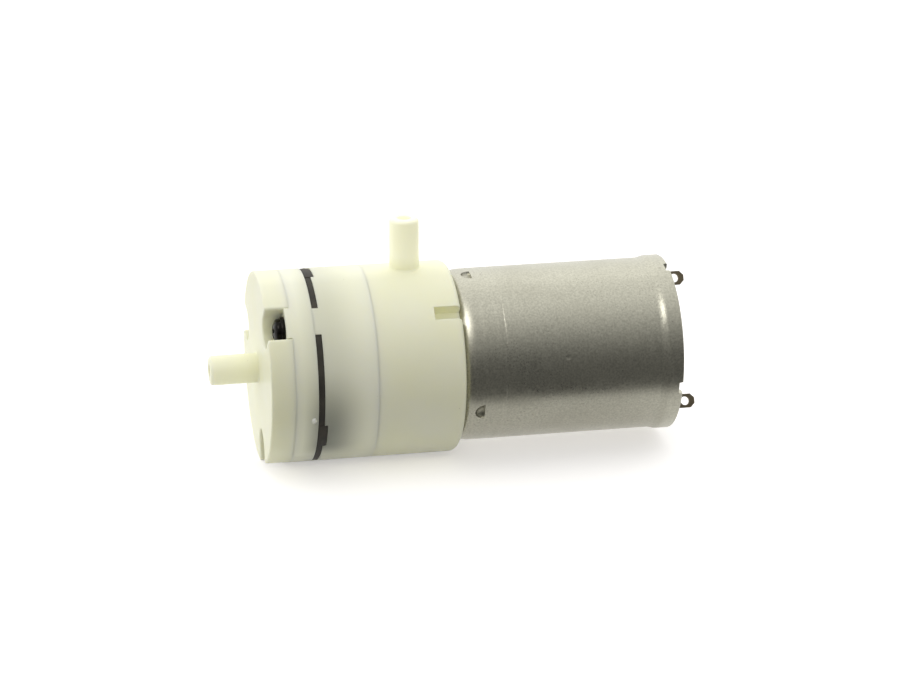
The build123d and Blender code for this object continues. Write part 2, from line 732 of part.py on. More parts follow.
# ---------------------------------------------------------- terminals, brush arms and brushes
x_terminal_tip = x_motor_rear + terminal_reach
x_arm = x_commutator + (x_holder_front - x_commutator - brush_arm_width) / 2
arm_height = commutator_radius + running_clearance + brush_height + brush_arm_thickness / 2
arm_foot_height = (terminal_thickness + brush_arm_thickness) / 2
for number, angle in enumerate(around(2, terminal_angle), start=1):
    terminal_plane = Plane(
        origin=(0, 0, 0),
        x_dir=(1, 0, 0),
        z_dir=(0, -sin(radians(angle)), cos(radians(angle))),
    )
    brush_plane = Plane(
        origin=(x_arm, 0, 0), x_dir=(0, cos(radians(angle)), sin(radians(angle))), z_dir=(1, 0, 0)
    )
    tab_length = x_terminal_tip - x_holder_front + terminal_tail
    with BuildPart() as terminal:
        with BuildSketch(terminal_plane) as terminal_outline:
            with Locations((x_terminal_tip - tab_length / 2, terminal_circle)):
                Rectangle(tab_length, terminal_width)
            chamfer(terminal_outline.vertices().group_by(Axis.X)[-1], length=terminal_chamfer)
            with Locations((x_terminal_tip - terminal_hole_setback, terminal_circle)):
                Circle(terminal_hole_radius, mode=Mode.SUBTRACT)
        extrude(amount=terminal_thickness / 2, both=True)
    terminal.part.label = f"terminal_{number}"
    export_step(terminal.part, f"parts/terminal_{number}.step")

    with BuildPart() as brush_arm:
        with BuildSketch(brush_plane):
            with BuildLine():
                Polyline(
                    (terminal_circle + terminal_width / 3, arm_foot_height),
                    (terminal_circle - terminal_width / 2, arm_foot_height),
                    (terminal_circle - terminal_width / 2 - arm_height, arm_height),
                    (-brush_width, arm_height),
                )
            trace(line_width=brush_arm_thickness)
        extrude(amount=brush_arm_width)
    brush_arm.part.label = f"brush_arm_{number}"
    export_step(brush_arm.part, f"parts/brush_arm_{number}.step")

    with BuildPart() as brush:
        with BuildSketch(brush_plane):
            with Locations((0, commutator_radius + running_clearance)):
                Rectangle(brush_width, brush_height, align=(Align.CENTER, Align.MIN))
        extrude(amount=brush_arm_width)
    brush.part.label = f"brush_{number}"
    export_step(brush.part, f"parts/brush_{number}.step")

# ---------------------------------------------------------- motor shaft
with BuildPart() as motor_shaft:
    with BuildSketch(section(x_shaft_front)):
        Circle(shaft_radius)
    extrude(amount=x_shaft_rear - x_shaft_front)
    chamfer(motor_shaft.edges().group_by(Axis.X)[-1], length=shaft_end_chamfer)
motor_shaft.part.label = "motor_shaft"
export_step(motor_shaft.part, "parts/motor_shaft.step")

# ---------------------------------------------------------- laminated rotor core and its coils
pole_shoe_inner = core_radius - pole_shoe_depth
with BuildPart() as rotor_core:
    for angle in around(poles, 0):
        with BuildSketch(section(x_core_front)):
            Circle(core_radius)
            Circle(pole_shoe_inner, mode=Mode.SUBTRACT)
            Polygon(*wedge(angle, pole_shoe_span), mode=Mode.INTERSECT)
        extrude(amount=core_length)
    with BuildSketch(section(x_core_front)):
        Circle(core_hub_radius)
        with PolarLocations(0, poles):
            Rectangle(core_radius - pole_shoe_depth / 2, tooth_width, align=outward)
        Circle(shaft_radius, mode=Mode.SUBTRACT)
    extrude(amount=core_length)
rotor_core.part.label = "rotor_core"
export_step(rotor_core.part, "parts/rotor_core.step")

coil_half_width = tooth_width / 2 + coil_thickness
coil_inner_radius = coil_half_width / sin(radians(180 / poles)) + loose_clearance
coil_outer_radius = sqrt(pole_shoe_inner**2 - coil_half_width**2) - loose_clearance
for number, angle in enumerate(around(poles, 0), start=1):
    coil_plane = Plane(
        origin=(x_core_front + core_length / 2, 0, 0),
        x_dir=(1, 0, 0),
        z_dir=(0, cos(radians(angle)), sin(radians(angle))),
    )
    with BuildPart() as coil:
        with BuildSketch(coil_plane.offset(coil_inner_radius)):
            RectangleRounded(core_length + 2 * coil_end, 2 * coil_half_width, coil_corner)
            Rectangle(core_length + 2 * seat_gap, tooth_width + 2 * seat_gap, mode=Mode.SUBTRACT)
        extrude(amount=coil_outer_radius - coil_inner_radius)
    coil.part.label = f"coil_{number}"
    export_step(coil.part, f"parts/coil_{number}.step")

# ---------------------------------------------------------- commutator
with BuildPart() as commutator_hub:
    with BuildSketch(section(x_commutator)):
        Circle(commutator_hub_radius)
        Circle(shaft_radius, mode=Mode.SUBTRACT)
    extrude(amount=commutator_length)
commutator_hub.part.label = "commutator_hub"
export_step(commutator_hub.part, "parts/commutator_hub.step")

for number, angle in enumerate(around(poles, 180 / poles), start=1):
    with BuildPart() as segment:
        with BuildSketch(section(x_commutator)):
            Circle(commutator_radius)
            Circle(commutator_hub_radius, mode=Mode.SUBTRACT)
            Polygon(*wedge(angle, 360 / poles - commutator_slit), mode=Mode.INTERSECT)
        extrude(amount=commutator_length)
        with BuildSketch(section(x_commutator)):
            Circle(riser_radius)
            Circle(commutator_hub_radius, mode=Mode.SUBTRACT)
            Polygon(*wedge(angle, 2 * commutator_slit), mode=Mode.INTERSECT)
        extrude(amount=riser_length)
    segment.part.label = f"commutator_segment_{number}"
    export_step(segment.part, f"parts/commutator_segment_{number}.step")

# ---------------------------------------------------------- thrust washers on the shaft
x_front_washer = x_front_bushing + bushing_length + running_clearance
x_rear_washer = x_rear_bushing - running_clearance - washer_thickness
for name, x_washer in (("front_washer", x_front_washer), ("rear_washer", x_rear_washer)):
    with BuildPart() as washer:
        with BuildSketch(section(x_washer)):
            Circle(washer_outer_radius)
            Circle(shaft_radius, mode=Mode.SUBTRACT)
        extrude(amount=washer_thickness)
    washer.part.label = name
    export_step(washer.part, f"parts/{name}.step")

# ---------------------------------------------------------- drive pin and eccentric
drive_pin_plane = yoke_plane.offset(drive_pin_start)
with BuildPart() as drive_pin:
    with BuildSketch(drive_pin_plane):
        Circle(drive_pin_radius)
    extrude(amount=drive_pin_length)
drive_pin.part.label = "drive_pin"
export_step(drive_pin.part, "parts/drive_pin.step")

with BuildPart() as eccentric:
    with BuildSketch(section(x_eccentric_front)):
        Circle(eccentric_radius)
    extrude(amount=eccentric_length)
    chamfer(eccentric.edges().filter_by(GeomType.CIRCLE), length=eccentric_edge)
    with BuildSketch(section(x_eccentric_rear)):
        Circle(shaft_radius)
    extrude(amount=-shaft_grip, mode=Mode.SUBTRACT)
    with BuildSketch(drive_pin_plane):
        Circle(drive_pin_radius)
    extrude(amount=drive_pin_length, mode=Mode.SUBTRACT)
eccentric.part.label = "eccentric"
export_step(eccentric.part, "parts/eccentric.step")

# ---------------------------------------------------------- wobbling yoke
yoke_bore_start = drive_pin_start - loose_clearance
with BuildPart() as yoke:
    with BuildSketch(yoke_plane.offset(-yoke_thickness / 2)):
        Circle(yoke_hub_radius + yoke_thickness / 2)
        with PolarLocations(0, chambers, start_angle=cup_angle - drive_pin_angle):
            Rectangle(cup_circle, yoke_arm_width, align=outward)
        with PolarLocations(cup_circle, chambers, start_angle=cup_angle - drive_pin_angle):
            Circle(yoke_pad_radius)
            Circle(stem_radius + running_clearance, mode=Mode.SUBTRACT)
    extrude(amount=yoke_thickness)
    with BuildSketch(yoke_plane):
        Circle(yoke_hub_radius)
    extrude(amount=yoke_hub_length)
    with BuildSketch(yoke_plane.offset(yoke_bore_start)):
        Circle(drive_pin_radius + running_clearance)
    extrude(amount=yoke_hub_length - yoke_bore_start, mode=Mode.SUBTRACT)
yoke.part.label = "yoke"
export_step(yoke.part, "parts/yoke.step")
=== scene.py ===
import json
import math

import bmesh
import bpy
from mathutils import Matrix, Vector, noise


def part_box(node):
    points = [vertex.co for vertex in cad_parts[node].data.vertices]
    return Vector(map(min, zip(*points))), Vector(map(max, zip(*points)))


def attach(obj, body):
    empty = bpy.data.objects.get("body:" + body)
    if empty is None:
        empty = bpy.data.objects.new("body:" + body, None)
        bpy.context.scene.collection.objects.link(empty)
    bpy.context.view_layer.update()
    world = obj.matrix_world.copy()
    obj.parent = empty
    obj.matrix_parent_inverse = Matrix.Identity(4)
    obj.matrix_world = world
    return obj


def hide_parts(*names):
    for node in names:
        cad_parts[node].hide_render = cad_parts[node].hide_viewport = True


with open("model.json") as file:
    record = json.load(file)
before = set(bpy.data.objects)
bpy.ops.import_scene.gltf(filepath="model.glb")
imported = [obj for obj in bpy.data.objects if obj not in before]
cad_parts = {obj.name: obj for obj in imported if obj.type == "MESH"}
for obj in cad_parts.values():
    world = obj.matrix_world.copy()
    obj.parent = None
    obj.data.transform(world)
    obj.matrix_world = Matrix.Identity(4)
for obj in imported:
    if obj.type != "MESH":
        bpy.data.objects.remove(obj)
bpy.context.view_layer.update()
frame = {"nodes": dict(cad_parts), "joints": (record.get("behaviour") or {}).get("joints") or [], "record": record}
nodes = frame["nodes"]

MM = 0.001

# The frame: X is the shaft axis, +X towards the terminals, +Z along the inlet nozzle.
# Angles round the shaft are measured from +Y towards +Z, in degrees.


# ---------------------------------------------------------------- stations read from the frame
def low(node):
    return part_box(node)[0]


def high(node):
    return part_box(node)[1]


COVER_THICKNESS = 3.4 * MM
FLANGE_THICKNESS = 0.9 * MM
X_HEAD_FACE = high("front_cover").x - COVER_THICKNESS
X_PLATE_REAR = high("valve_plate").x
X_FLANGE_REAR = X_PLATE_REAR + FLANGE_THICKNESS
X_CAN_REAR = high("motor_can").x
HEAD_R = high("valve_plate").y
FLOOR_Z = low("crank_case").z

# ---------------------------------------------------------------- camera
LOOK_AT = Vector((-0.015414, 0.0, 0.002578))
AZIMUTH = math.radians(-11.538)
ELEVATION = math.radians(18.8)
DISTANCE = 0.454618
FOCAL_MM = 128.16
SENSOR_MM = 36.0

camera_data = bpy.data.cameras.new("camera")
camera = bpy.data.objects.new("camera", camera_data)
bpy.context.scene.collection.objects.link(camera)
back = Vector((
    math.sin(AZIMUTH) * math.cos(ELEVATION),
    -math.cos(AZIMUTH) * math.cos(ELEVATION),
    math.sin(ELEVATION),
))
camera.location = LOOK_AT + back * DISTANCE
camera.rotation_euler = (-back).to_track_quat("-Z", "Y").to_euler()
camera_data.lens = FOCAL_MM
camera_data.sensor_width = SENSOR_MM
camera_data.clip_start = 0.01
camera_data.clip_end = 20.0
bpy.context.scene.camera = camera


# ---------------------------------------------------------------- node helpers
def give(tree, socket, value):
    """Sets a node's input to a value, or links it to another node's output."""
    if isinstance(value, bpy.types.NodeSocket):
        tree.links.new(value, socket)
    else:
        socket.default_value = value


def add_node(tree, kind, inputs=None, **settings):
    """Adds a shader node with its settings and inputs."""
    node = tree.nodes.new(kind)
    for key, value in settings.items():
        setattr(node, key, value)
    for key, value in (inputs or {}).items():
        give(tree, node.inputs[key], value)
    return node


def opaque(color):
    """A colour with its alpha, or another node's output unchanged."""
    return color if isinstance(color, bpy.types.NodeSocket) else (*color, 1.0)


def mixed(tree, factor, a, b, blend="MIX"):
    """Two colours mixed by a factor."""
    node = add_node(tree, "ShaderNodeMix", data_type="RGBA", blend_type=blend)
    inputs = {socket.identifier: socket for socket in node.inputs}
    give(tree, inputs["Factor_Float"], factor)
    give(tree, inputs["A_Color"], opaque(a))
    give(tree, inputs["B_Color"], opaque(b))
    return next(socket for socket in node.outputs if socket.identifier == "Result_Color")


class Nodes:
    """A material, with short forms for the shader nodes that it needs."""

    def __init__(self, name):
        self.material = bpy.data.materials.new(name)
        self.material.use_nodes = True
        self.tree = self.material.node_tree
        self.shader = self.tree.nodes["Principled BSDF"]

    def add(self, kind, inputs=None, **settings):
        return add_node(self.tree, kind, inputs, **settings)

    def position(self):
        """The point in the object's own frame, which at rest is the shared frame."""
        return self.add("ShaderNodeTexCoord").outputs["Object"]

    def scaled(self, vector, scale):
        return self.add("ShaderNodeMapping", {"Vector": vector, "Scale": scale}).outputs["Vector"]

    def noise(self, vector, scale, detail=3.0, roughness=0.5):
        node = self.add(
            "ShaderNodeTexNoise",
            {"Vector": vector, "Scale": scale, "Detail": detail, "Roughness": roughness},
        )
        return node.outputs["Fac"]

    def ramp(self, value, low_in, high_in, low_out=0.0, high_out=1.0, smooth=False):
        inputs = {
            "Value": value, "From Min": low_in, "From Max": high_in, "To Min": low_out, "To Max": high_out
        }
        kind = "SMOOTHSTEP" if smooth else "LINEAR"
        return self.add("ShaderNodeMapRange", inputs, interpolation_type=kind).outputs["Result"]

    def math(self, operation, a, b=None):
        inputs = {0: a}
        if b is not None:
            inputs[1] = b
        return self.add("ShaderNodeMath", inputs, operation=operation).outputs[0]

    def mix(self, factor, a, b, blend="MIX"):
        return mixed(self.tree, factor, a, b, blend)

    def axis(self, vector, name):
        return self.add("ShaderNodeSeparateXYZ", {"Vector": vector}).outputs[name]

    def bump(self, height, strength, distance, normal=None):
        inputs = {"Height": height, "Strength": strength, "Distance": distance}
        if normal is not None:
            inputs["Normal"] = normal
        return self.add("ShaderNodeBump", inputs).outputs["Normal"]

    def set(self, **values):
        """Sets or links inputs of the shader, by short names."""
        names = {
            "color": "Base Color", "roughness": "Roughness", "metallic": "Metallic", "normal": "Normal",
            "ior": "IOR", "specular": "Specular IOR Level", "sheen": "Sheen Weight",
            "sss": "Subsurface Weight", "sss_scale": "Subsurface Scale", "sss_radius": "Subsurface Radius",
            "emission": "Emission Color", "emission_strength": "Emission Strength",
        }
        for key, value in values.items():
            socket = self.shader.inputs[names[key]]
            give(self.tree, socket, opaque(value) if key in ("color", "emission") else value)
        return self.material


def srgb(red, green, blue):
    """An 8-bit colour as linear light."""
    return tuple(
        (c / 255 / 12.92) if c / 255 <= 0.04045 else ((c / 255 + 0.055) / 1.055) ** 2.4
        for c in (red, green, blue)
    )


# ---------------------------------------------------------------- materials
# A painted glow on the thin nozzles stands in for light that passes through them, so they look lit from inside.
NOZZLE_GLOW = 0.22
END_NOZZLE_SHARE = 0.25


def painted_shade_behind_ring(n, x, z, painted_shade_share):
    """How much painted shade falls on the wall just behind the black ring: darker on the lower side, less at the
    lit bottom edge.
    """
    rear = n.ramp(x, X_FLANGE_REAR + 0.6 * MM, X_FLANGE_REAR + 6.8 * MM, 1.0, 0.0, smooth=True)
    front = n.ramp(x, X_PLATE_REAR - 2.0 * MM, X_PLATE_REAR + 0.6 * MM, 0.10, 1.0)
    low_side = n.ramp(z, 4.5 * MM, -6.0 * MM, 0.28, 1.0, smooth=True)
    lit_edge = n.ramp(z, -8.0 * MM, -11.2 * MM, 1.0, 0.25, smooth=True)
    placed = n.math("MULTIPLY", n.math("MULTIPLY", rear, front), low_side)
    return n.math("MULTIPLY", placed, n.math("MULTIPLY", lit_edge, painted_shade_share))


def nozzle_glow(n, x, z):
    """Painted glow (emission) on the two nozzles, stronger on the one that stands up."""
    upper = n.ramp(z, HEAD_R - 0.5 * MM, HEAD_R + 2.0 * MM, 0.0, NOZZLE_GLOW)
    end = n.ramp(x, X_HEAD_FACE + 0.5 * MM, X_HEAD_FACE - 2.0 * MM, 0.0, NOZZLE_GLOW * END_NOZZLE_SHARE)
    return n.math("MAXIMUM", upper, end)


def ivory_plastic(name, tint, shade, seed, painted_shade_share=0.0):
    """Translucent ivory moulding with flow clouds, mould texture, dust, painted shade on the lower side behind the
    black ring, and a painted glow on the nozzles.
    """
    n = Nodes(name)
    point = n.position()
    x = n.axis(point, "X")
    z = n.axis(point, "Z")
    clouds = n.noise(n.scaled(point, (60, 60, 60)), 1.4, 2.0)
    flow = n.noise(n.scaled(point, (140, 45, 45)), 1.0 + seed, 3.0)
    base = n.mix(n.ramp(clouds, 0.3, 0.75), tint, shade)
    base = n.mix(n.math("MULTIPLY", n.ramp(flow, 0.45, 0.8), 0.35), base, shade)
    specks = n.add("ShaderNodeTexVoronoi", {"Vector": point, "Scale": 900.0}, feature="F1")
    dust = n.ramp(specks.outputs["Distance"], 0.035, 0.075, 1.0, 0.0)
    dust = n.math("MULTIPLY", dust, n.ramp(n.noise(point, 260.0), 0.62, 0.7))
    base = n.mix(n.math("MULTIPLY", dust, 0.45), base, srgb(140, 132, 100))
    # Painted shade: a dark grey laid on the lower side just behind the black ring.
    base = n.mix(painted_shade_behind_ring(n, x, z, painted_shade_share), base, srgb(88, 92, 90))
    fine = n.noise(point, 9000.0, 2.0)
    orange_peel = n.noise(point, 700.0, 2.0)
    normal = n.bump(fine, 0.10, 0.00003)
    normal = n.bump(orange_peel, 0.12, 0.00006, normal)
    return n.set(
        color=base, roughness=n.ramp(orange_peel, 0.3, 0.7, 0.36, 0.46), normal=normal, ior=1.49,
        specular=0.45, sss=0.5, sss_scale=0.0011, sss_radius=(1.0, 0.95, 0.75),
        emission=(1.0, 0.98, 0.78), emission_strength=nozzle_glow(n, x, z),
    )


def rubber(name, tint, shade):
    """Matt black rubber with a dusty bloom."""
    n = Nodes(name)
    point = n.position()
    bloom = n.noise(point, 420.0, 4.0)
    grain = n.noise(point, 5200.0, 2.0)
    base = n.mix(n.ramp(bloom, 0.35, 0.72), tint, shade)
    normal = n.bump(grain, 0.25, 0.00004)
    return n.set(
        color=base, roughness=n.ramp(bloom, 0.3, 0.7, 0.62, 0.8), normal=normal, specular=0.35, sheen=0.08
    )


def plated_steel(name):
    """Satin plated sheet: spangled grain, draw lines round the can, faint stains and rubbed spots."""
    n = Nodes(name)
    point = n.position()
    grain = n.noise(point, 3600.0, 2.0, 0.6)
    speckle = n.noise(point, 9500.0, 1.0)
    stains = n.noise(n.scaled(point, (0.6, 1.0, 1.0)), 170.0, 4.0, 0.6)
    drawn = n.noise(n.scaled(point, (1.0, 0.03, 0.03)), 6000.0, 3.0)
    base = n.mix(n.ramp(grain, 0.32, 0.7), srgb(172, 170, 157), srgb(198, 196, 182))
    base = n.mix(n.math("MULTIPLY", n.ramp(stains, 0.5, 0.75), 0.25), base, srgb(164, 161, 147))
    base = n.mix(n.math("MULTIPLY", n.ramp(drawn, 0.5, 0.75), 0.12), base, srgb(222, 220, 205))
    roughness = n.ramp(grain, 0.3, 0.7, 0.29, 0.38)
    roughness = n.math("ADD", roughness, n.ramp(stains, 0.4, 0.75, -0.03, 0.07))
    normal = n.bump(grain, 0.07, 0.00002)
    normal = n.bump(speckle, 0.05, 0.00001, normal)
    normal = n.bump(drawn, 0.06, 0.00002, normal)
    return n.set(color=base, metallic=1.0, roughness=roughness, normal=normal)


def metal(name, tint, shade, rough_low, rough_high, scale=1200.0, stretch=(1, 1, 1), depth=0.00002):
    """Bare metal with a fine grain, which may be stretched along a machining direction."""
    n = Nodes(name)
    point = n.scaled(n.position(), stretch)
    grain = n.noise(point, scale, 3.0)
    patches = n.noise(n.position(), scale * 0.16, 3.0)
    base = n.mix(n.ramp(patches, 0.35, 0.7), tint, shade)
    base = n.mix(n.math("MULTIPLY", n.ramp(grain, 0.5, 0.8), 0.3), base, shade)
    return n.set(
        color=base, metallic=1.0, roughness=n.ramp(grain, 0.3, 0.7, rough_low, rough_high),
        normal=n.bump(grain, 0.25, depth),
    )


def moulded(name, tint, shade, rough_low, rough_high, sss=0.0, scale=600.0):
    """A moulded or pressed part with faint clouds and grain."""
    n = Nodes(name)
    point = n.position()
    clouds = n.noise(point, scale * 0.3, 3.0)
    grain = n.noise(point, scale * 6, 2.0)
    base = n.mix(n.ramp(clouds, 0.35, 0.7), tint, shade)
    return n.set(
        color=base, roughness=n.ramp(clouds, 0.3, 0.7, rough_low, rough_high),
        normal=n.bump(grain, 0.15, 0.00003), sss=sss, sss_scale=0.001,
    )


def striped(name, dark, bright, wave, direction, metallic, roughness, strength, depth):
    """Fine parallel stripes that are raised where they are bright."""
    n = Nodes(name)
    stripes = n.add(
        "ShaderNodeTexWave", {"Vector": n.position(), **wave}, wave_type="BANDS", bands_direction=direction
    ).outputs["Fac"]
    return n.set(
        color=n.mix(stripes, dark, bright), metallic=metallic,
        roughness=n.ramp(stripes, 0.0, 1.0, *roughness), normal=n.bump(stripes, strength, depth),
    )


def winding(name):
    """Enamelled copper wire laid along the coil, with painted shade in the dark grooves between the turns."""
    wave = {"Scale": 520.0, "Distortion": 0.6, "Detail": 1.0}
    return striped(
        name, srgb(116, 52, 22), srgb(196, 110, 58), wave, "DIAGONAL", 0.8, (0.5, 0.3), 0.8, 0.00012
    )


def laminations(name):
    """A stack of thin steel sheets across the shaft."""
    wave = {"Scale": 420.0, "Distortion": 0.0}
    return striped(name, srgb(58, 60, 66), srgb(128, 130, 136), wave, "X", 0.9, (0.6, 0.4), 0.5, 0.00006)


MATERIALS = {
    # The fifth number of a plastic, where given, is its share of the painted shade behind the black ring.
    "ivory_plastic": ivory_plastic("ivory_plastic", srgb(252, 251, 226), srgb(249, 248, 214), 0.0, 0.25),
    "valve_plate": ivory_plastic("valve_plate_plastic", srgb(250, 250, 230), srgb(246, 246, 220), 0.7, 0.75),
    "gate": ivory_plastic("gate_plastic", srgb(252, 251, 238), srgb(248, 247, 228), 0.3),
    "black_rubber": rubber("black_rubber", srgb(44, 41, 36), srgb(70, 66, 58)),
    "valve_rubber": rubber("valve_rubber", srgb(60, 60, 62), srgb(84, 84, 84)),
    "black_screw": metal("black_screw", srgb(24, 23, 22), srgb(44, 42, 40), 0.16, 0.3),
    "plated_steel": plated_steel("plated_steel"),
    "spring_steel": metal("spring_steel", srgb(112, 116, 128), srgb(150, 152, 158), 0.25, 0.4),
    "sintered_bronze": metal("sintered_bronze", srgb(150, 112, 70), srgb(120, 86, 50), 0.45, 0.65, 2400.0),
    "nylon": moulded("nylon", srgb(226, 222, 206), srgb(212, 206, 186), 0.4, 0.55, 0.2),
    "ground_steel": metal(
        "ground_steel", srgb(196, 196, 200), srgb(178, 178, 184), 0.12, 0.24, 1800.0, (1, 0.05, 0.05)
    ),
    "lamination_steel": laminations("lamination_steel"),
    "phenolic": moulded("phenolic", srgb(96, 52, 30), srgb(70, 38, 24), 0.3, 0.5),
    "washer_nylon": moulded("washer_nylon", srgb(206, 190, 150), srgb(188, 170, 130), 0.5, 0.65),
    "acetal": moulded("acetal", srgb(240, 240, 236), srgb(228, 228, 222), 0.25, 0.38, 0.25),
    "ferrite": moulded("ferrite", srgb(62, 62, 66), srgb(78, 77, 78), 0.6, 0.8, 0.0, 1400.0),
    "brass_terminal": metal("brass_terminal", srgb(138, 128, 108), srgb(104, 94, 78), 0.32, 0.5, 900.0),
    "spring_copper": metal("spring_copper", srgb(212, 148, 102), srgb(186, 120, 80), 0.25, 0.4),
    "carbon": moulded("carbon", srgb(54, 54, 56), srgb(38, 38, 40), 0.45, 0.65, 0.0, 2200.0),
    "copper_wire": winding("copper_wire"),
    "copper_bar": metal(
        "copper_bar", srgb(214, 146, 108), srgb(186, 112, 78), 0.25, 0.42, 1600.0, (0.05, 1, 1)
    ),
}


def dress(obj, material):
    obj.data.materials.clear()
    obj.data.materials.append(material)


slot_of = {part["node"]: part["material_slot"] for part in frame["record"]["subparts"]}
for node_name, node in nodes.items():
    dress(node, MATERIALS[slot_of[node_name]])
# These two rings are moulded in a clearer and whiter grade than the cover and the case, and carry more of the
# painted shade behind the black ring.
for node_name in ("valve_plate", "cylinder_body"):
    dress(nodes[node_name], MATERIALS["valve_plate"])


# ---------------------------------------------------------------- floor, world and lights
# To everything but the camera the floor is white paper this far in front of the shaft, then a dim room.
PAPER_EDGE = 0.019
PAPER_FADE = 0.004
PAPER_WHITE = 0.75
ROOM_GREY = 0.12
FLOOR_GLOW = 0.38
PAPER_GLOW = 0.5
SKY_STRENGTH = 1.24


def studio_floor():
    """A plain white floor. The object sees a strip of white paper under it and a dim room in front."""
    n = Nodes("floor")
    point = n.position()
    ahead = n.math("MULTIPLY", n.axis(point, "Y"), -1.0)
    strip = n.ramp(ahead, PAPER_EDGE, PAPER_EDGE + PAPER_FADE, PAPER_WHITE, ROOM_GREY, smooth=True)
    rays = n.add("ShaderNodeLightPath").outputs
    seen = rays["Is Camera Ray"]
    white = n.ramp(n.noise(point, 3.0, 2.0), 0.3, 0.7, 0.93, 0.95)
    unseen_level = n.math("MULTIPLY", n.math("SUBTRACT", 1.0, seen), strip)
    level = n.math("ADD", n.math("MULTIPLY", seen, white), unseen_level)
    grey = n.add("ShaderNodeCombineColor", {"Red": level, "Green": level, "Blue": level}).outputs[0]
    tint = n.mix(seen, (1.0, 1.0, 1.0), (1.0, 0.985, 0.99))
    paper_glow = n.ramp(ahead, 0.002, PAPER_EDGE + PAPER_FADE, PAPER_GLOW, 0.0)
    reflected = n.math("MULTIPLY", rays["Is Glossy Ray"], paper_glow)
    return n.set(
        color=n.mix(1.0, tint, grey, "MULTIPLY"), roughness=0.9, specular=0.0, emission=(1.0, 0.985, 0.985),
        emission_strength=n.math("ADD", n.math("MULTIPLY", seen, FLOOR_GLOW), reflected),
    )


bpy.ops.mesh.primitive_plane_add(size=6.0, location=(0, 0, FLOOR_Z - 0.00002))
floor = bpy.context.object
floor.name = "floor"
dress(floor, studio_floor())

# The sky is a soft tent: dim where the camera looks in, brightest above and behind.
# Each pair is an angle in the plane across the shaft, from the front horizon over the top, and a level.
TENT = (
    (0, 0.10), (15, 0.17), (35, 0.34), (55, 0.52), (77, 0.80),
    (107, 0.95), (127, 1.2), (150, 1.1), (180, 1.0),
)
LEFT_SIDE = (0.80, 0.80, 0.785)
RIGHT_SIDE = (0.55, 0.55, 0.54)


def build_sky():
    """The tent's levels over the top, and its two plain sides."""
    world = bpy.data.worlds.new("studio")
    bpy.context.scene.world = world
    world.use_nodes = True
    tree = world.node_tree

    def math_node(operation, a, b=None):
        inputs = {0: a} if b is None else {0: a, 1: b}
        return add_node(tree, "ShaderNodeMath", inputs, operation=operation).outputs[0]

    looking = add_node(tree, "ShaderNodeTexCoord").outputs["Generated"]
    direction = add_node(tree, "ShaderNodeSeparateXYZ", {0: looking}).outputs
    angle = math_node("ARCTAN2", direction["Z"], math_node("MULTIPLY", direction["Y"], -1.0))
    over = add_node(tree, "ShaderNodeValToRGB", {0: math_node("DIVIDE", angle, math.pi)})
    stops = over.color_ramp.elements
    for number, (degrees, level) in enumerate(TENT):
        if number in (0, len(TENT) - 1):
            stop = stops[0 if number == 0 else -1]
            stop.position = degrees / 180
        else:
            stop = stops.new(degrees / 180)
        stop.color = (level, level, level * 0.97, 1.0)
    across = add_node(
        tree, "ShaderNodeMapRange", {"Value": direction["X"], "From Min": -1.0, "From Max": 1.0}
    )
    sides = add_node(tree, "ShaderNodeValToRGB", {0: across.outputs[0]})
    sides.color_ramp.elements[0].color = (*LEFT_SIDE, 1.0)
    sides.color_ramp.elements[1].color = (*RIGHT_SIDE, 1.0)
    sideways = math_node("ABSOLUTE", direction["X"])
    near_side = add_node(
        tree, "ShaderNodeMapRange", {"Value": sideways, "From Min": 0.55, "From Max": 0.95},
        interpolation_type="SMOOTHSTEP",
    )
    background = tree.nodes["Background"].inputs
    give(tree, background["Color"], mixed(tree, near_side.outputs[0], over.outputs[0], sides.outputs[0]))
    give(tree, background["Strength"], SKY_STRENGTH)


build_sky()


def disk_light(name, size, power, color, place):
    """A round area light that faces the object."""
    data = bpy.data.lights.new(name, "AREA")
    data.shape = "DISK"
    data.size = size
    data.energy = power
    data.color = color
    light = bpy.data.objects.new(name, data)
    bpy.context.scene.collection.objects.link(light)
    light.location = place
    light.rotation_euler = (LOOK_AT - place).to_track_quat("-Z", "Y").to_euler()
    return light


# A broad soft fill from the camera's side. It lights matt surfaces and leaves no reflection in the metal.
fill = disk_light("fill", 0.5, 0.78, (1.0, 0.985, 0.95), Vector((-0.04, -0.56, 0.22)))
fill.visible_glossy = False

# A bright window high on the left: it draws the stripes on the can's front shoulder and rear flare.
window = disk_light("window", 0.30, 1.1, (1.0, 0.99, 0.96), LOOK_AT + Vector((-0.42, -0.42, 0.80)) * 0.6)
window.visible_diffuse = False

scene = bpy.context.scene
scene.view_settings.view_transform = "Standard"
scene.view_settings.look = "None"
scene.view_settings.exposure = 0.0
scene.view_settings.gamma = 1.0


# ---------------------------------------------------------------- mesh helpers
def ring_point(x, radius, degrees):
    """A point at station x, that far from the shaft axis, at that angle from +Y towards +Z."""
    return Vector((x, radius * math.cos(math.radians(degrees)), radius * math.sin(math.radians(degrees))))


def finish_mesh(builder, name, material, body, smooth_angle=35):
    """Turns a bmesh into a piece that rides on a body."""
    bmesh.ops.recalc_face_normals(builder, faces=builder.faces)
    limit = math.radians(smooth_angle)
    for face in builder.faces:
        face.smooth = True
    for edge in builder.edges:
        edge.smooth = len(edge.link_faces) == 2 and edge.calc_face_angle(0.0) < limit
    mesh = bpy.data.meshes.new(name)
    builder.to_mesh(mesh)
    builder.free()
    obj = bpy.data.objects.new(name, mesh)
    bpy.context.scene.collection.objects.link(obj)
    dress(obj, material)
    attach(obj, body)
    return obj


def join_rings(builder, rings, closed=False):
    """Quads between neighbouring rings of vertices, each ring a closed loop."""
    pairs = list(zip(rings, rings[1:] + rings[:1])) if closed else list(zip(rings, rings[1:]))
    for one, two in pairs:
        for here, there, over, back_over in zip(one, one[1:] + one[:1], two[1:] + two[:1], two):
            builder.faces.new((here, there, over, back_over))


def cap(builder, ring, centre):
    """Closes a ring with a fan to one point."""
    tip = builder.verts.new(centre)
    for here, there in zip(ring, ring[1:] + ring[:1]):
        builder.faces.new((here, there, tip))


